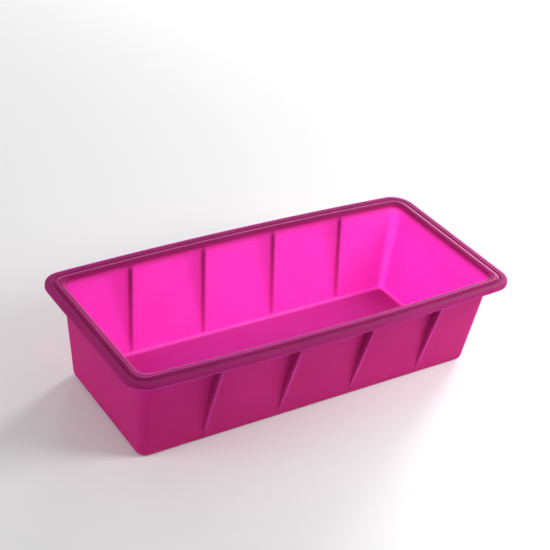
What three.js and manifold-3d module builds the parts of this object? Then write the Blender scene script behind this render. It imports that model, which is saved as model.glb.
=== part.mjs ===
// Soap loaf mould: a soft silicone tray with a thick flanged rim, and the steel wire ring that is
// moulded inside the rim to stiffen it. Millimetres, +Z up, origin at the centre of the base.
import * as THREE from 'three';
import { mergeVertices } from 'three/addons/utils/BufferGeometryUtils.js';
import Module from 'manifold-3d';

// Overall size, over the rim
const LENGTH = 270;
const WIDTH = 129;
const HEIGHT = 65;
const SIDE_BOW = 3.1; // how far each long rim bulges out at mid-length

// Rim section: distances in from the rim's outer edge, and drops below the crest of its ridge
const RIM_CORNER_RADIUS = 14;
const RIM_THICKNESS = 3.8;
const TOP_ROUND = 1.2;
const BOTTOM_ROUND = 0.6;
const LAND_DROP = 0.5;
const GROOVE_AT = 4.9;
const GROOVE_HALF_WIDTH = 0.7;
const GROOVE_DROP = 1.1;
const RIDGE_AT = 7.4;
const RIDGE_HALF_WIDTH = 0.7;
const MOUTH_AT = 10.2;
const MOUTH_DROP = 0.3;

// Walls, floor and base
const WALL_AT = 9.6; // where the outer wall meets the underside of the rim
const WALL = 1.7;
const FLOOR = 2.4;
const BASE_LENGTH = 237.4;
const BASE_WIDTH = 91.2;
const CORNER_RADIUS = 5.5;
const CORNER_FLARE = 3; // how much rounder the corners are just under the rim than at the base
const BASE_FILLET = 4.2;
const FLOOR_FILLET = 3;

// Ribs that hold the rim out from the long walls
const RIB_COUNT = 4;
const RIB_PITCH = 52;
const RIB_THICKNESS = 2.2;
const RIB_REACH = 6.8; // how far a rib stands out, just under the rim
const RIB_FOOT_HEIGHT = 6;
const RIB_ROOT = 0.8; // how deep a rib runs into the wall and the rim

// Wire ring, the channel that it lies in, and the holes that the moulding tool's pins leave
const WIRE_RADIUS = 0.9;
const WIRE_GAP = 0.3;
const WIRE_DROP = 2;
const PIN_HOLE_RADIUS = 0.9;
const PIN_HOLE_DEPTH = 2.8;
const SIDE_PIN_HOLES = 3;
const SIDE_PIN_PITCH = 104;
const END_PIN_HOLES = 2;
const END_PIN_PITCH = 50;

const CORNER_STEPS = 8;
const SIDE_STEPS = 4;
const FILLET_STEPS = 3;
const BAR_SIDES = 8;
const HOLE_SIDES = 12;

const RIM_UNDERSIDE = HEIGHT - RIM_THICKNESS;
const SMALLEST_RADIUS = 1;

const wasm = await Module();
wasm.setup();

// A rounded rectangle whose long sides bulge by bow, anticlockwise from above.
// Its half width is taken over the bulge.
function outline(halfLength, halfWidth, radius, bow) {
  const cornerX = halfLength - radius;
  const sideY = halfWidth - bow;
  const cornerY = sideY - radius;
  const corner = (x, y, start) => new THREE.EllipseCurve(x, y, radius, radius, start, start + Math.PI / 2);
  const side = (x, y) => new THREE.QuadraticBezierCurve(
    new THREE.Vector2(x, y),
    new THREE.Vector2(0, y + 2 * bow * Math.sign(y)),
    new THREE.Vector2(-x, y),
  );
  const stretches = [
    [side(cornerX, sideY), SIDE_STEPS],
    [corner(-cornerX, cornerY, Math.PI / 2), CORNER_STEPS],
    [new THREE.LineCurve(new THREE.Vector2(-halfLength, cornerY), new THREE.Vector2(-halfLength, -cornerY)), 1],
    [corner(-cornerX, -cornerY, Math.PI), CORNER_STEPS],
    [side(-cornerX, -sideY), SIDE_STEPS],
    [corner(cornerX, -cornerY, -Math.PI / 2), CORNER_STEPS],
    [new THREE.LineCurve(new THREE.Vector2(halfLength, -cornerY), new THREE.Vector2(halfLength, cornerY)), 1],
    [corner(cornerX, cornerY, 0), CORNER_STEPS],
  ];
  return stretches.flatMap(([curve, steps]) => curve.getPoints(steps).slice(0, -1));
}

// A ring of the rim at a given distance in from its outer edge.
function rimRing(inset, z) {
  const radius = Math.max(RIM_CORNER_RADIUS - inset, CORNER_RADIUS + CORNER_FLARE - WALL);
  const points = outline(LENGTH / 2 - inset, WIDTH / 2 - inset, radius, SIDE_BOW);
  return points.map((p) => new THREE.Vector3(p.x, p.y, z));
}

// A ring of the wall, inset from its outer face. Towards the base the wall narrows, its bulge fades
// and its corners get sharper.
function wallRing(inset, z) {
  const rise = z / RIM_UNDERSIDE;
  const halfLength = THREE.MathUtils.lerp(BASE_LENGTH / 2, LENGTH / 2 - WALL_AT, rise) - inset;
  const halfWidth = THREE.MathUtils.lerp(BASE_WIDTH / 2, WIDTH / 2 - WALL_AT, rise) - inset;
  const radius = Math.max(CORNER_RADIUS + CORNER_FLARE * rise - inset, SMALLEST_RADIUS);
  const points = outline(halfLength, halfWidth, radius, SIDE_BOW * rise);
  return points.map((p) => new THREE.Vector3(p.x, p.y, z));
}

// Rings up the quarter round between a flat at height z and a wall face.
function filletRings(inset, z, fillet) {
  const rings = [];
  for (let step = 0; step <= FILLET_STEPS; step += 1) {
    const angle = (step / FILLET_STEPS) * (Math.PI / 2);
    rings.push(wallRing(inset + fillet * (1 - Math.sin(angle)), z + fillet * (1 - Math.cos(angle))));
  }
  return rings;
}

// Joins rings of equal length into one skin, which closes on itself like a tyre or has a cap at each end.
function skin(rings, closesOnItself) {
  const count = rings[0].length;
  const vertices = rings.flat();
  const faces = [];
  const bands = closesOnItself ? rings.length : rings.length - 1;
  for (let band = 0; band < bands; band += 1) {
    const low = band * count;
    const high = ((band + 1) % rings.length) * count;
    for (let i = 0; i < count; i += 1) {
      const next = (i + 1) % count;
      faces.push(low + i, low + next, high + next);
      faces.push(low + i, high + next, high + i);
    }
  }
  if (!closesOnItself) {
    const lastRing = (rings.length - 1) * count;
    const firstCentre = vertices.push(new THREE.Vector3(0, 0, rings[0][0].z)) - 1;
    const lastCentre = vertices.push(new THREE.Vector3(0, 0, rings.at(-1)[0].z)) - 1;
    for (let i = 0; i < count; i += 1) {
      const next = (i + 1) % count;
      faces.push(firstCentre, next, i);
      faces.push(lastCentre, lastRing + i, lastRing + next);
    }
  }
  const geometry = new THREE.BufferGeometry().setFromPoints(vertices);
  geometry.setIndex(faces);
  return geometry;
}

// The tray's skin, from the middle of the base up the outside, over the rim and down to the floor.
function trayGeometry() {
  return skin([
    ...filletRings(0, 0, BASE_FILLET),
    wallRing(0, RIM_UNDERSIDE),
    rimRing(BOTTOM_ROUND, RIM_UNDERSIDE),
    rimRing(0, RIM_UNDERSIDE + BOTTOM_ROUND),
    rimRing(0, HEIGHT - LAND_DROP - TOP_ROUND),
    rimRing(TOP_ROUND / 3, HEIGHT - LAND_DROP - TOP_ROUND / 3),
    rimRing(TOP_ROUND, HEIGHT - LAND_DROP),
    rimRing(GROOVE_AT - GROOVE_HALF_WIDTH, HEIGHT - LAND_DROP),
    rimRing(GROOVE_AT, HEIGHT - GROOVE_DROP),
    rimRing(GROOVE_AT + GROOVE_HALF_WIDTH, HEIGHT - LAND_DROP),
    rimRing(RIDGE_AT - RIDGE_HALF_WIDTH, HEIGHT),
    rimRing(RIDGE_AT + RIDGE_HALF_WIDTH, HEIGHT),
    rimRing(MOUTH_AT, HEIGHT - MOUTH_DROP),
    ...filletRings(WALL, FLOOR, FLOOR_FILLET).reverse(),
  ], false);
}

// A round bar that follows the rim's outline, under its ridge.
function barGeometry(barRadius) {
  const rings = [];
  for (let side = 0; side < BAR_SIDES; side += 1) {
    const angle = (side / BAR_SIDES) * Math.PI * 2;
    const inset = RIDGE_AT - barRadius * Math.cos(angle);
    rings.push(rimRing(inset, HEIGHT - WIRE_DROP + barRadius * Math.sin(angle)));
  }
  return skin(rings, true);
}

// How far a long side of the rim stands out of the straight line between its corners.
function bulgeAt(x) {
  return SIDE_BOW * (1 - (x / (LENGTH / 2 - RIM_CORNER_RADIUS)) ** 2);
}

// One rib: a thin triangle, deepest under the rim and fading into the foot of the wall.
function ribGeometry(x, side) {
  const topY = WIDTH / 2 - WALL_AT - SIDE_BOW + bulgeAt(x);
  const footY = THREE.MathUtils.lerp(BASE_WIDTH / 2, topY, RIB_FOOT_HEIGHT / RIM_UNDERSIDE);
  const section = new THREE.Shape([
    new THREE.Vector2(footY, RIB_FOOT_HEIGHT),
    new THREE.Vector2(topY + RIB_REACH, RIM_UNDERSIDE),
    new THREE.Vector2(topY + RIB_REACH, RIM_UNDERSIDE + RIB_ROOT),
    new THREE.Vector2(topY - RIB_ROOT, RIM_UNDERSIDE + RIB_ROOT),
    new THREE.Vector2(footY - RIB_ROOT, RIB_FOOT_HEIGHT),
  ]);
  const geometry = new THREE.ExtrudeGeometry(section, { depth: RIB_THICKNESS, bevelEnabled: false });
  geometry.translate(0, 0, -RIB_THICKNESS / 2);
  geometry.rotateX(Math.PI / 2);
  geometry.rotateZ(side * Math.PI / 2);
  geometry.translate(x, 0, 0);
  return geometry;
}

// A hole from under the rim up to the wire channel.
function pinHoleGeometry(x, y) {
  const geometry = new THREE.CylinderGeometry(PIN_HOLE_RADIUS, PIN_HOLE_RADIUS, PIN_HOLE_DEPTH, HOLE_SIDES);
  geometry.rotateX(Math.PI / 2);
  geometry.translate(x, y, HEIGHT - WIRE_DROP - PIN_HOLE_DEPTH / 2);
  return geometry;
}

// Evenly spaced places, centred on zero.
function places(count, pitch) {
  return Array.from({ length: count }, (_, i) => (i - (count - 1) / 2) * pitch);
}

function toSolid(geometry) {
  const bare = geometry.clone();
  bare.deleteAttribute('normal');
  bare.deleteAttribute('uv');
  const merged = mergeVertices(bare);
  return new wasm.Manifold(new wasm.Mesh({
    numProp: 3,
    vertProperties: merged.attributes.position.array,
    triVerts: new Uint32Array(merged.index.array),
  }));
}

function toGeometry(solid) {
  const mesh = solid.getMesh();
  const geometry = new THREE.BufferGeometry();
  geometry.setAttribute('position', new THREE.BufferAttribute(mesh.vertProperties, 3));
  geometry.setIndex(new THREE.BufferAttribute(mesh.triVerts, 1));
  geometry.computeVertexNormals();
  return geometry;
}

function mouldBody() {
  let body = toSolid(trayGeometry());
  for (const side of [-1, 1]) {
    for (const x of places(RIB_COUNT, RIB_PITCH)) {
      body = body.add(toSolid(ribGeometry(x, side)));
    }
  }
  body = body.subtract(toSolid(barGeometry(WIRE_RADIUS + WIRE_GAP)));
  for (const side of [-1, 1]) {
    for (const x of places(SIDE_PIN_HOLES, SIDE_PIN_PITCH)) {
      const y = WIDTH / 2 - RIDGE_AT - SIDE_BOW + bulgeAt(x);
      body = body.subtract(toSolid(pinHoleGeometry(x, side * y)));
    }
    for (const y of places(END_PIN_HOLES, END_PIN_PITCH)) {
      body = body.subtract(toSolid(pinHoleGeometry(side * (LENGTH / 2 - RIDGE_AT), y)));
    }
  }
  const silicone = new THREE.MeshStandardMaterial({ color: 0xc8308c, roughness: 0.5, metalness: 0 });
  const mesh = new THREE.Mesh(toGeometry(body), silicone);
  mesh.name = 'mould_body';
  return mesh;
}

function rimWire() {
  const steel = new THREE.MeshStandardMaterial({ color: 0xb4b6b9, roughness: 0.35, metalness: 1 });
  const mesh = new THREE.Mesh(barGeometry(WIRE_RADIUS), steel);
  mesh.name = 'rim_wire';
  return mesh;
}

const soapLoafMould = new THREE.Group();
soapLoafMould.add(mouldBody());
soapLoafMould.add(rimWire());

export default soapLoafMould;
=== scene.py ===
"""Looks for the soap loaf mould: a translucent silicone tray with a steel wire ring in its rim.

Lengths are in metres, with +Z up and the origin at the centre of the base.
"""

import math
from collections import namedtuple

import bpy
from mathutils import Matrix, Vector


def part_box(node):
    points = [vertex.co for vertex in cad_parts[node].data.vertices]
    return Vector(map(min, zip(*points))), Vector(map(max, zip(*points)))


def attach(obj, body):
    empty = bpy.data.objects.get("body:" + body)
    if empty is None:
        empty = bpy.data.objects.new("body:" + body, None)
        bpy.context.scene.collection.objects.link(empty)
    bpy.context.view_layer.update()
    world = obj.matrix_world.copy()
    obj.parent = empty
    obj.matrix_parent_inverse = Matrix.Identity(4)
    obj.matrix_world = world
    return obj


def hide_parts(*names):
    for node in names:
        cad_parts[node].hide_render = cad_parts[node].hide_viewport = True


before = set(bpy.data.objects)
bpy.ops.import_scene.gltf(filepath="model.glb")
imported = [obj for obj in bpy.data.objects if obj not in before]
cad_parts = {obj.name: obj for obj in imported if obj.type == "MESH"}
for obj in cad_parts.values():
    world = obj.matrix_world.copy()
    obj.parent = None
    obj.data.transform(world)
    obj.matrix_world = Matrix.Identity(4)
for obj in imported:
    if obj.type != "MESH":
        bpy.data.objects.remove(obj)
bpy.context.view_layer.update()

MM = 0.001

# Sizes that the frame gives
_, tray_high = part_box("mould_body")
wire_low, wire_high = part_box("rim_wire")
HALF_LENGTH = tray_high.x
HALF_WIDTH = tray_high.y
HEIGHT = tray_high.z
WIRE_RADIUS = (wire_high.z - wire_low.z) / 2
RIDGE_AT = HALF_LENGTH - wire_high.x + WIRE_RADIUS  # the wire lies under the rim's ridge

# Rim: distances in from its outer edge, and drops below its ridge
SIDE_BOW = 3.1 * MM
RIM_CORNER_RADIUS = 14 * MM
RIM_THICKNESS = 3.8 * MM
LAND_DROP = 0.5 * MM
GROOVE_AT = 4.9 * MM
GROOVE_HALF_WIDTH = 0.7 * MM
GROOVE_DROP = 1.1 * MM
RIDGE_HALF_WIDTH = 0.7 * MM
MOUTH_AT = 10.2 * MM
MOUTH_DROP = 0.3 * MM
UNDERSIDE = HEIGHT - RIM_THICKNESS

# How far the rounding of each of the rim's corners reaches
LOWER_EDGE_ROUNDING = 0.7 * MM
UPPER_EDGE_ROUNDING = 0.8 * MM
GROOVE_LIP_ROUNDING = 0.2 * MM
GROOVE_ROUNDING = 0.3 * MM
RIDGE_OUTER_ROUNDING = 0.3 * MM
RIDGE_INNER_ROUNDING = 0.4 * MM
MOUTH_ROUNDING = 0.5 * MM

# Walls, floor and base
WALL_AT = 9.6 * MM
WALL = 1.7 * MM
FLOOR = 2.4 * MM
BASE_HALF_LENGTH = 118.7 * MM
BASE_HALF_WIDTH = 45.6 * MM
CORNER_RADIUS = 5.5 * MM
CORNER_FLARE = 3 * MM
SMALLEST_RADIUS = 1 * MM
BASE_FILLET = 4.2 * MM
FLOOR_FILLET = 3 * MM
FILLET_CLEARANCE = 1.5  # where the flat beyond a fillet starts, in sizes of the fillet
UNDER_MOUTH_DROP = 2 * MM  # how far below the rim's underside the mouth's slope meets the inner wall

# Ribs
RIB_COUNT = 4
RIB_PITCH = 52 * MM
RIB_REACH = 6.8 * MM
RIB_FOOT_HEIGHT = 6 * MM
# Across a rib: distance from its middle in millimetres, and share of the reach there. The last points only
# give the rib's shade in the wall room to fade.
RIB_SECTION = [
    (0.0, 1.0), (0.5, 1.0), (0.85, 0.99), (1.0, 0.965), (1.08, 0.9),
    (1.13, 0.5), (1.18, 0.13), (1.3, 0.035), (1.6, 0.0), (2.1, 0.0), (2.8, 0.0), (3.8, 0.0),
]

# A rib's painted shadow in the wall behind it
SHADE_CORE = 0.5  # half of the width over which it is full, in millimetres
SHADE_BLUR = 1.35  # how far it fades beyond, in millimetres
SHADE_NARROWING = 1.2  # how much narrower it is where little of it shows
OUTER_FOOT_SHADE = 0.4  # how much of it shows at the ribs' feet, outside and inside the tray
INNER_FOOT_SHADE = 0.55

# Painted shade: how much darker the silicone is painted, from 0 in the thin walls to 1 in the rim, for less
# light coming through thick silicone and for the rim's shadow below it
BASE_EDGE_SHADE = 0.1
WALL_TOP_SHADE = 0.35
MOUTH_SLOPE_SHADE = 0.35
UNDER_MOUTH_SHADE = 0.12
WALL_FOOT_SHADE = 0.1
MOUTH_SLOPE_SHARE = 0.4  # how far down the mouth's slope most of the rim's painted shade has faded

# How strong a painted highlight each edge has
UPPER_EDGE_HIGHLIGHT = 0.56
RIDGE_EDGE_HIGHLIGHT = 0.3
RIDGE_CREST_HIGHLIGHT = 0.68
FLOOR_EDGE_HIGHLIGHT = 1

# Spacing of the mesh
WALL_STEP = 3.5 * MM
SIDE_STEP = 4 * MM
CORNER_STEPS = 14
ROUND_STEPS = 4
CAP_RINGS = 5
SAME_PLACE = 1e-7  # rows closer than this are one row

# A row of the tray's skin: the half length and half width (over the bulge) of its outline, the outline's
# corner radius and bulge, the row's height, how far the ribs stand out there, how much painted shade it has
# (0 in the thin walls and 1 in the rim), how much of that a rib's painted shadow adds, whether the row is
# inside the tray (1, painted lighter) or outside (0), and how strong its painted highlight is (1 on the
# edges).
Row = namedtuple("Row", "length width radius bow z rib depth behind inside wear")


def mix(a, b, share):
    return a + (b - a) * share


def mix_rows(a, b, share):
    return Row(*(mix(p, q, share) for p, q in zip(a, b)))


def rim_row(inset, z, wear=0.0):
    radius = max(RIM_CORNER_RADIUS - inset, CORNER_RADIUS + CORNER_FLARE - WALL)
    # Rim rows get full painted shade, and a painted highlight where one is given
    return Row(HALF_LENGTH - inset, HALF_WIDTH - inset, radius, SIDE_BOW, z, 0, 1, 0, 0, wear)


def wall_row(inset, z, rib=0.0, depth=0.0, behind=0.0, inside=0.0, wear=0.0):
    rise = z / UNDERSIDE
    return Row(
        mix(BASE_HALF_LENGTH, HALF_LENGTH - WALL_AT, rise) - inset,
        mix(BASE_HALF_WIDTH, HALF_WIDTH - WALL_AT, rise) - inset,
        max(CORNER_RADIUS + CORNER_FLARE * rise - inset, SMALLEST_RADIUS),
        SIDE_BOW * rise,
        z,
        rib,
        depth,
        behind,
        inside,
        wear,
    )


def span(a, b):
    """Distance between two rows across the side wall."""
    return math.hypot(a.width - b.width, a.z - b.z)


def corner_rows():
    """The corners of the tray's section with the size of each one's rounding, from the base's edge round the
    rim to the edge of the floor."""
    crest = HEIGHT
    land = HEIGHT - LAND_DROP
    groove = HEIGHT - GROOVE_DROP
    base_flat = wall_row(BASE_FILLET * FILLET_CLEARANCE, 0)
    outer_foot = wall_row(0, RIB_FOOT_HEIGHT, behind=OUTER_FOOT_SHADE)
    # Outside under the rim: painted shade, and the ribs' full painted shadow
    outer_top = wall_row(0, UNDERSIDE, rib=RIB_REACH, depth=WALL_TOP_SHADE, behind=1)
    mouth = rim_row(MOUTH_AT, HEIGHT - MOUTH_DROP)
    # Inside under the rim: a little painted shadow of the rim, and the ribs' full painted shadow
    under_mouth = wall_row(
        WALL, UNDERSIDE - UNDER_MOUTH_DROP, depth=UNDER_MOUTH_SHADE, behind=1, inside=1
    )
    mouth_slope = mix_rows(mouth, under_mouth, MOUTH_SLOPE_SHARE)
    inner_foot = wall_row(
        WALL, RIB_FOOT_HEIGHT, depth=WALL_FOOT_SHADE, behind=INNER_FOOT_SHADE, inside=1
    )
    floor_flat = wall_row(WALL + FLOOR_FILLET * FILLET_CLEARANCE, FLOOR, inside=1)
    return [
        (base_flat, 0),
        # The base's edge gets a little painted shade
        (wall_row(0, 0, depth=BASE_EDGE_SHADE), BASE_FILLET),
        (outer_foot, 0),
        (outer_top, LOWER_EDGE_ROUNDING),
        (rim_row(0, UNDERSIDE), LOWER_EDGE_ROUNDING),
        # Painted highlight on the rim's upper outer edge
        (rim_row(0, land, UPPER_EDGE_HIGHLIGHT), UPPER_EDGE_ROUNDING),
        (rim_row(GROOVE_AT - GROOVE_HALF_WIDTH, land), GROOVE_LIP_ROUNDING),
        (rim_row(GROOVE_AT, groove), GROOVE_ROUNDING),
        (rim_row(GROOVE_AT + GROOVE_HALF_WIDTH, land), GROOVE_LIP_ROUNDING),
        # Painted highlights along the ridge, strongest on its crest
        (rim_row(RIDGE_AT - RIDGE_HALF_WIDTH, crest, RIDGE_EDGE_HIGHLIGHT), RIDGE_OUTER_ROUNDING),
        (rim_row(RIDGE_AT, crest, RIDGE_CREST_HIGHLIGHT), 0),
        (rim_row(RIDGE_AT + RIDGE_HALF_WIDTH, crest, RIDGE_EDGE_HIGHLIGHT), RIDGE_INNER_ROUNDING),
        (mouth, MOUTH_ROUNDING),
        (mouth_slope._replace(depth=MOUTH_SLOPE_SHADE, inside=1), 0),
        (under_mouth, 0),
        (inner_foot, 0),
        # Painted highlight along the floor's edge
        (wall_row(WALL, FLOOR, inside=1, wear=FLOOR_EDGE_HIGHLIGHT), FLOOR_FILLET),
        (floor_flat, 0),
    ]


def rounded(corners):
    """The rows of a section with its corners rounded, each by a curve that starts and ends the corner's own
    size away, but no further than half of the way to the next corner."""
    rows = [corners[0][0]]
    for (before, _), (row, size), (after, _) in zip(corners, corners[1:], corners[2:]):
        if not size:
            rows.append(row)
            continue
        start = mix_rows(row, before, min(size / span(row, before), 0.5))
        end = mix_rows(row, after, min(size / span(row, after), 0.5))
        for step in range(ROUND_STEPS + 1):
            t = step / ROUND_STEPS
            rows.append(mix_rows(mix_rows(start, row, t), mix_rows(row, end, t), t))
    rows.append(corners[-1][0])
    return rows


def filled(rows):
    """The same rows with more between them wherever they are further apart than the wall's spacing."""
    made = [rows[0]]
    for a, b in zip(rows, rows[1:]):
        if span(a, b) < SAME_PLACE:
            continue
        parts = max(1, math.ceil(span(a, b) / WALL_STEP))
        made += [mix_rows(a, b, (i + 1) / parts) for i in range(parts)]
    return made


def evenly(start, end, step):
    """Numbers from start up to end, about a step apart, without the last one."""
    count = max(1, round((end - start) / step))
    return [mix(start, end, i / count) for i in range(count)]


def rib_shade(away):
    """How much painted shadow a rib puts on the wall at a distance from its middle, in millimetres."""
    return math.exp(-(max(0, away - SHADE_CORE) / SHADE_BLUR) ** 2)


def side_stations():
    """Places along a long side between the outermost ribs, from +X to -X: x, the share of the ribs' reach
    and the ribs' shade."""
    half_rib = RIB_SECTION[-1][0] * MM
    across = [(-away, share) for away, share in reversed(RIB_SECTION)] + RIB_SECTION[1:]
    stations = []
    for i in range(RIB_COUNT):
        rib = (i - (RIB_COUNT - 1) / 2) * RIB_PITCH
        stations += [(rib + away * MM, share, rib_shade(abs(away))) for away, share in across]
        if i < RIB_COUNT - 1:
            start, end = rib + half_rib, rib + RIB_PITCH - half_rib
            stations += [(x, 0.0, 0.0) for x in evenly(start, end, SIDE_STEP)[1:]]
    return stations[::-1]


def side_columns(side):
    """The columns of the long side at +Y (side is 1) or -Y (side is -1), anticlockwise. A column is a
    function that gives a row's x and y there, and the shade of the ribs."""
    stations = side_stations()
    limit = stations[0][0]
    run_count = math.ceil((HALF_LENGTH - RIM_CORNER_RADIUS - limit) / SIDE_STEP)

    def place(row, x, share, shade):
        corner = row.length - row.radius
        out = row.width - row.bow * (x / corner) ** 2 + row.rib * share
        return side * x, side * out, shade

    def in_ribs(x, share, shade):
        return lambda row: place(row, x, share, shade)

    def beyond(way, sign):
        return lambda row: place(row, sign * mix(limit, row.length - row.radius, way), 0.0, 0.0)

    ways = [(i + 1) / run_count for i in range(run_count)]
    before = [beyond(way, 1) for way in reversed(ways)]
    after = [beyond(way, -1) for way in ways]
    return before + [in_ribs(*station) for station in stations] + after


def corner_columns(sign_x, sign_y, start):
    """The columns between the two ends of a corner's arc, which starts at so many quarter turns."""

    def on_arc(angle):
        return lambda row: (
            sign_x * (row.length - row.radius) + row.radius * math.cos(angle),
            sign_y * (row.width - row.bow - row.radius) + row.radius * math.sin(angle),
            0.0,
        )

    angles = [(start + i / CORNER_STEPS) * math.pi / 2 for i in range(1, CORNER_STEPS)]
    return [on_arc(angle) for angle in angles]


def end_columns(side):
    """The columns of the end at +X (side is 1) or -X (side is -1), anticlockwise, with those where it meets
    the corners."""
    count = round(2 * HALF_WIDTH / SIDE_STEP)

    def on_end(share):
        return lambda row: (
            side * row.length,
            side * mix(-1, 1, share) * (row.width - row.bow - row.radius),
            0.0,
        )

    return [on_end(i / count) for i in range(count + 1)]


def all_columns():
    return (
        side_columns(1)
        + corner_columns(-1, 1, 1)
        + end_columns(-1)
        + corner_columns(-1, -1, 2)
        + side_columns(-1)
        + corner_columns(1, -1, 3)
        + end_columns(1)
        + corner_columns(1, 1, 0)
    )


def ring(row, columns):
    """The points of a row, and how much painted shade each has."""
    placed = [column(row) for column in columns]
    points = [Vector((x, y, row.z)) for x, y, _ in placed]
    power = 1 + SHADE_NARROWING * (1 - row.behind)
    painted_shades = [mix(row.depth, 1, row.behind * shade ** power) for _, _, shade in placed]
    return points, painted_shades


def shrunk(points, share):
    """A ring pulled in towards the middle line of the tray, evenly from its sides and ends."""
    half_width = max(p.y for p in points)
    half_length = max(p.x for p in points)
    spine = half_length - half_width
    made = []
    for p in points:
        centre = Vector((max(-spine, min(spine, p.x)), 0, p.z))
        made.append(p.lerp(centre, share))
    return made


def tray_mesh():
    """The tray's skin: rings of points up the outside, over the rim and down the inside, closed by the flat
    middles of the base and of the floor."""
    columns = all_columns()
    count = len(columns)
    rows = filled(rounded(corner_rows()))
    made = [ring(row, columns) for row in rows]
    rings = [points for points, _ in made]
    caps = [(i + 1) / (CAP_RINGS + 1) for i in range(CAP_RINGS)]
    base = [shrunk(rings[0], share) for share in reversed(caps)]
    floor = [shrunk(rings[-1], share) for share in caps]
    rings = base + rings + floor
    faces = [tuple(reversed(range(count)))]
    for low in range(0, (len(rings) - 1) * count, count):
        for i in range(count):
            after = (i + 1) % count
            faces.append((low + i, low + after, low + count + after, low + count + i))
    faces.append(tuple(range((len(rings) - 1) * count, len(rings) * count)))
    mesh = bpy.data.meshes.new("mould_body_skin")
    mesh.from_pydata([p for points in rings for p in points], [], faces)
    mesh.polygons.foreach_set("use_smooth", [True] * len(mesh.polygons))

    def paint(name, values, on_floor):
        """Stores a value for each point: 0 on the flat of the base, the given ones on the rows between, and
        the last one on the flat of the floor."""
        flat = CAP_RINGS * count
        attribute = mesh.attributes.new(name, "FLOAT", "POINT")
        attribute.data.foreach_set("value", [0.0] * flat + values + [on_floor] * flat)

    paint("depth", [depth for _, found in made for depth in found], 0.0)
    paint("inside", [row.inside for row in rows for _ in columns], 1.0)
    paint("wear", [row.wear for row in rows for _ in columns], 0.0)
    mesh.update()
    return mesh


def make_tray():
    tray = bpy.data.objects.new("mould_body_skin", tray_mesh())
    bpy.context.scene.collection.objects.link(tray)
    tray.data.materials.append(silicone())
    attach(tray, "root")
    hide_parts("mould_body")


# Noise: nearly all of it lies between these
NOISE_LOW = 0.3
NOISE_HIGH = 0.7
NOISE_DETAIL = 3

# Silicone: a pair of values is mixed by a noise, and scales are in features per metre
# Inside and outside are one silicone: the inner tint is painted lighter for light glowing through the walls,
# the outer is painted darker
OUTER_TINTS = (0.42, 0.015, 0.150, 1), (0.46, 0.019, 0.170, 1)
INNER_TINTS = (0.86, 0.040, 0.42, 1), (0.90, 0.046, 0.46, 1)
# Painted shade, for thick silicone, the rim's shadow and the ribs' shadows
SHADED_TINTS = (0.27, 0.010, 0.105, 1), (0.31, 0.013, 0.125, 1)
# Painted highlight on the edges
HIGHLIGHT_TINT = (0.95, 0.16, 0.58, 1)
HIGHLIGHT_START = 0.5  # the edges' painted highlight at which the highlight tint starts, and at which it is full
HIGHLIGHT_FULL = 0.75
HIGHLIGHT_COVER = 0.6, 0.9  # how much of the painted highlight tint there is in its thin and in its full patches
ROUGHNESS = 0.60, 0.70
GRAIN_ROUGHNESS = -0.04, 0.04
MOTTLE_SCALE = 30
MOTTLE_HEIGHT = 0.15 * MM
GRAIN_SCALE = 1600
GRAIN_DETAIL = 2
GRAIN_HEIGHT = 0.012 * MM
HIGHLIGHT_PATCH_SCALE = 120
SCATTERING_DEPTH = 6.5 * MM
SCATTERING_REACH = (1.0, 0.85, 1.23)  # how far red, green and blue light run in it, in scattering depths
SILICONE_IOR = 1.41
SILICONE_SPECULAR = 0.1

# Drawn steel
STEEL_TINTS = (0.45, 0.46, 0.47, 1), (0.66, 0.67, 0.68, 1)
STEEL_ROUGHNESS = 0.25, 0.42
STREAK_SCALE = 700
STREAK_HEIGHT = 0.02 * MM


class Nodes:
    """Adds nodes to a material's tree. A socket is set from a number, a colour or another node's socket."""

    def __init__(self, material):
        material.use_nodes = True
        self.tree = material.node_tree
        self.shader = self.tree.nodes["Principled BSDF"]

    def put(self, socket, value):
        if isinstance(value, bpy.types.NodeSocket):
            self.tree.links.new(value, socket)
        else:
            socket.default_value = value

    def set(self, **values):
        for name, value in values.items():
            self.put(self.shader.inputs[name.replace("_", " ")], value)

    def add(self, kind, inputs, **settings):
        node = self.tree.nodes.new(kind)
        for name, value in settings.items():
            setattr(node, name, value)
        for name, value in inputs.items():
            self.put(node.inputs[name], value)
        return node

    def attribute(self, name):
        return self.add("ShaderNodeAttribute", {}, attribute_name=name).outputs["Fac"]

    def noise(self, scale, detail=NOISE_DETAIL):
        place = self.add("ShaderNodeTexCoord", {}).outputs["Object"]
        found = {"Vector": place, "Scale": scale, "Detail": detail}
        return self.add("ShaderNodeTexNoise", found).outputs["Fac"]

    def range(self, value, low, high, to_low, to_high):
        found = {"Value": value, "From Min": low, "From Max": high, "To Min": to_low, "To Max": to_high}
        return self.add("ShaderNodeMapRange", found).outputs["Result"]

    def spread(self, noise, low, high):
        """A noise stretched so that most of it runs from low to high."""
        return self.range(noise, NOISE_LOW, NOISE_HIGH, low, high)

    def math(self, operation, a, b):
        return self.add("ShaderNodeMath", {0: a, 1: b}, operation=operation).outputs[0]

    def colour(self, share, a, b):
        """A colour between a and b. The node's colour sockets are found by number, as their names repeat."""
        node = self.add("ShaderNodeMix", {"Factor": share}, data_type="RGBA")
        self.put(node.inputs[6], a)
        self.put(node.inputs[7], b)
        return node.outputs[2]

    def bump(self, height, distance, onto=None):
        found = {"Height": height, "Distance": distance}
        if onto is not None:
            found["Normal"] = onto
        return self.add("ShaderNodeBump", found).outputs["Normal"]


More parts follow.
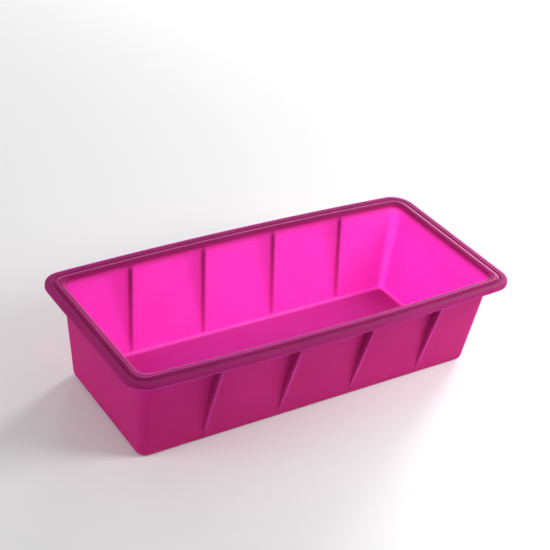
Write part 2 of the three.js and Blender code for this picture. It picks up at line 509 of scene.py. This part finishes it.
def silicone():
    """Soft translucent silicone: light runs through the thin walls, the inside is painted lighter, the rim
    and the ribs are painted with shade, and the edges are painted with pale highlights."""
    material = bpy.data.materials.new("silicone")
    nodes = Nodes(material)
    depth = nodes.attribute("depth")
    mottle = nodes.noise(MOTTLE_SCALE)
    grain = nodes.noise(GRAIN_SCALE, GRAIN_DETAIL)
    patch = nodes.spread(mottle, 0, 1)
    outer = nodes.colour(patch, *OUTER_TINTS)
    inner = nodes.colour(patch, *INNER_TINTS)
    shaded = nodes.colour(patch, *SHADED_TINTS)
    # The inside attribute picks the painted glow of the inner tint
    # The shaded tint is painted shade, mixed in where the rows say the silicone is thick or in shadow
    tint = nodes.colour(depth, nodes.colour(nodes.attribute("inside"), outer, inner), shaded)
    # The pale tint is a painted highlight on the edges, broken up by a noise
    highlighted = nodes.range(nodes.attribute("wear"), HIGHLIGHT_START, HIGHLIGHT_FULL, 0, 1)
    uneven = nodes.spread(nodes.noise(HIGHLIGHT_PATCH_SCALE), *HIGHLIGHT_COVER)
    tint = nodes.colour(nodes.math("MULTIPLY", highlighted, uneven), tint, HIGHLIGHT_TINT)
    rough = nodes.math("ADD", nodes.spread(mottle, *ROUGHNESS), nodes.spread(grain, *GRAIN_ROUGHNESS))
    normal = nodes.bump(mottle, MOTTLE_HEIGHT)
    normal = nodes.bump(grain, GRAIN_HEIGHT, normal)
    nodes.set(
        Base_Color=tint,
        Roughness=rough,
        IOR=SILICONE_IOR,
        Specular_IOR_Level=SILICONE_SPECULAR,
        Subsurface_Weight=1.0,
        Subsurface_Radius=SCATTERING_REACH,
        Subsurface_Scale=SCATTERING_DEPTH,
        Normal=normal,
    )
    return material


def drawn_steel():
    material = bpy.data.materials.new("drawn_steel")
    nodes = Nodes(material)
    streaks = nodes.noise(STREAK_SCALE)
    nodes.set(
        Base_Color=nodes.colour(nodes.spread(streaks, 0, 1), *STEEL_TINTS),
        Metallic=1.0,
        Roughness=nodes.spread(streaks, *STEEL_ROUGHNESS),
        Normal=nodes.bump(streaks, STREAK_HEIGHT),
    )
    return material


def finish_wire():
    """The wire keeps its CAD shape and takes a drawn steel finish."""
    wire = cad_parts["rim_wire"]
    wire.data.materials.clear()
    wire.data.materials.append(drawn_steel())


# Camera: angles in degrees, its distance from the origin, and its shift to the right and up from there
CAMERA_AZIMUTH = -36.14
CAMERA_ELEVATION = 31.88
CAMERA_ROLL = 7.01
CAMERA_DISTANCE = 0.8605
CAMERA_RIGHT = 1.07 * MM
CAMERA_UP = 56.95 * MM
CAMERA_LENS = 88.9
CAMERA_SENSOR = 36

# Studio: distances are from the middle of the tray, and powers are in watts
FLOOR_HALF_SIZE = 6.0
FLOOR_TINT = (0.9, 0.9, 0.9, 1)
FLOOR_ROUGHNESS = 0.8
AREA_LIGHT_DISTANCE = 1.6
LOW_LIGHT_ELEVATION = 6
LOW_LIGHT_SIZE = 0.36
SIDE_LIGHT_SIZE = 1.2
LAMP_DISTANCE = 0.5
LAMP_RADIUS = 0.12
WORLD_TINT = (1, 1, 1, 1)
WORLD_STRENGTH = 0.3


def towards(azimuth, elevation):
    """The direction from the mould to a light or camera at the given angles."""
    azimuth = math.radians(azimuth)
    elevation = math.radians(elevation)
    return Vector((
        math.sin(azimuth) * math.cos(elevation),
        -math.cos(azimuth) * math.cos(elevation),
        math.sin(elevation),
    ))


def make_camera():
    """The camera, with its own right, up and back as the columns of its turn."""
    back = towards(CAMERA_AZIMUTH, CAMERA_ELEVATION)
    level = Vector((0, 0, 1)).cross(back).normalized()
    upright = back.cross(level)
    turn = Matrix.Rotation(math.radians(CAMERA_ROLL), 3, back)
    right = turn @ level
    up = turn @ upright
    camera = bpy.data.objects.new("camera", bpy.data.cameras.new("camera"))
    camera.data.lens = CAMERA_LENS
    camera.data.sensor_width = CAMERA_SENSOR
    place = back * CAMERA_DISTANCE + right * CAMERA_RIGHT + up * CAMERA_UP
    facing = Matrix((right, up, back)).transposed()
    camera.matrix_world = Matrix.Translation(place) @ facing.to_4x4()
    bpy.context.scene.collection.objects.link(camera)
    bpy.context.scene.camera = camera


def make_floor():
    size = FLOOR_HALF_SIZE
    mesh = bpy.data.meshes.new("studio_floor")
    corners = [(-size, -size, 0), (size, -size, 0), (size, size, 0), (-size, size, 0)]
    mesh.from_pydata(corners, [], [(0, 1, 2, 3)])
    floor = bpy.data.objects.new("studio_floor", mesh)
    bpy.context.scene.collection.objects.link(floor)
    material = bpy.data.materials.new("pale_floor")
    Nodes(material).set(Base_Color=FLOOR_TINT, Roughness=FLOOR_ROUGHNESS)
    mesh.materials.append(material)


def add_light(kind, name, back, distance, power):
    light = bpy.data.objects.new(name, bpy.data.lights.new(name, kind))
    light.data.energy = power
    light.location = back * distance + Vector((0, 0, HEIGHT / 2))
    bpy.context.scene.collection.objects.link(light)
    return light


def make_area_light(name, azimuth, elevation, size, power):
    """A square soft light that faces the mould."""
    back = towards(azimuth, elevation)
    light = add_light("AREA", name, back, AREA_LIGHT_DISTANCE, power)
    light.data.size = size
    light.rotation_mode = "QUATERNION"
    light.rotation_quaternion = back.to_track_quat("Z", "Y")


def make_low_light(name, azimuth, power):
    """A small area light just above the floor, which shines in through the far walls."""
    make_area_light(name, azimuth, LOW_LIGHT_ELEVATION, LOW_LIGHT_SIZE, power)


def make_lamp(name, azimuth, elevation, power):
    """A round lamp near the mould that shines all ways."""
    lamp = add_light("POINT", name, towards(azimuth, elevation), LAMP_DISTANCE, power)
    lamp.data.shadow_soft_size = LAMP_RADIUS


def make_world():
    world = bpy.data.worlds.new("studio")
    world.use_nodes = True
    background = world.node_tree.nodes["Background"]
    background.inputs["Color"].default_value = WORLD_TINT
    background.inputs["Strength"].default_value = WORLD_STRENGTH
    bpy.context.scene.world = world


def make_studio():
    make_floor()
    make_low_light("back_light", azimuth=180, power=5.5)
    make_low_light("back_right_light", azimuth=150, power=6.2)
    make_low_light("right_light", azimuth=120, power=35)
    make_area_light("left_light", azimuth=-90, elevation=30, size=SIDE_LIGHT_SIZE, power=10)
    make_lamp("front_right_lamp", azimuth=45, elevation=35, power=6.6)
    make_world()
    bpy.context.scene.view_settings.view_transform = "Standard"


make_camera()
make_tray()
finish_wire()
make_studio()

bpy.context.view_layer.update()
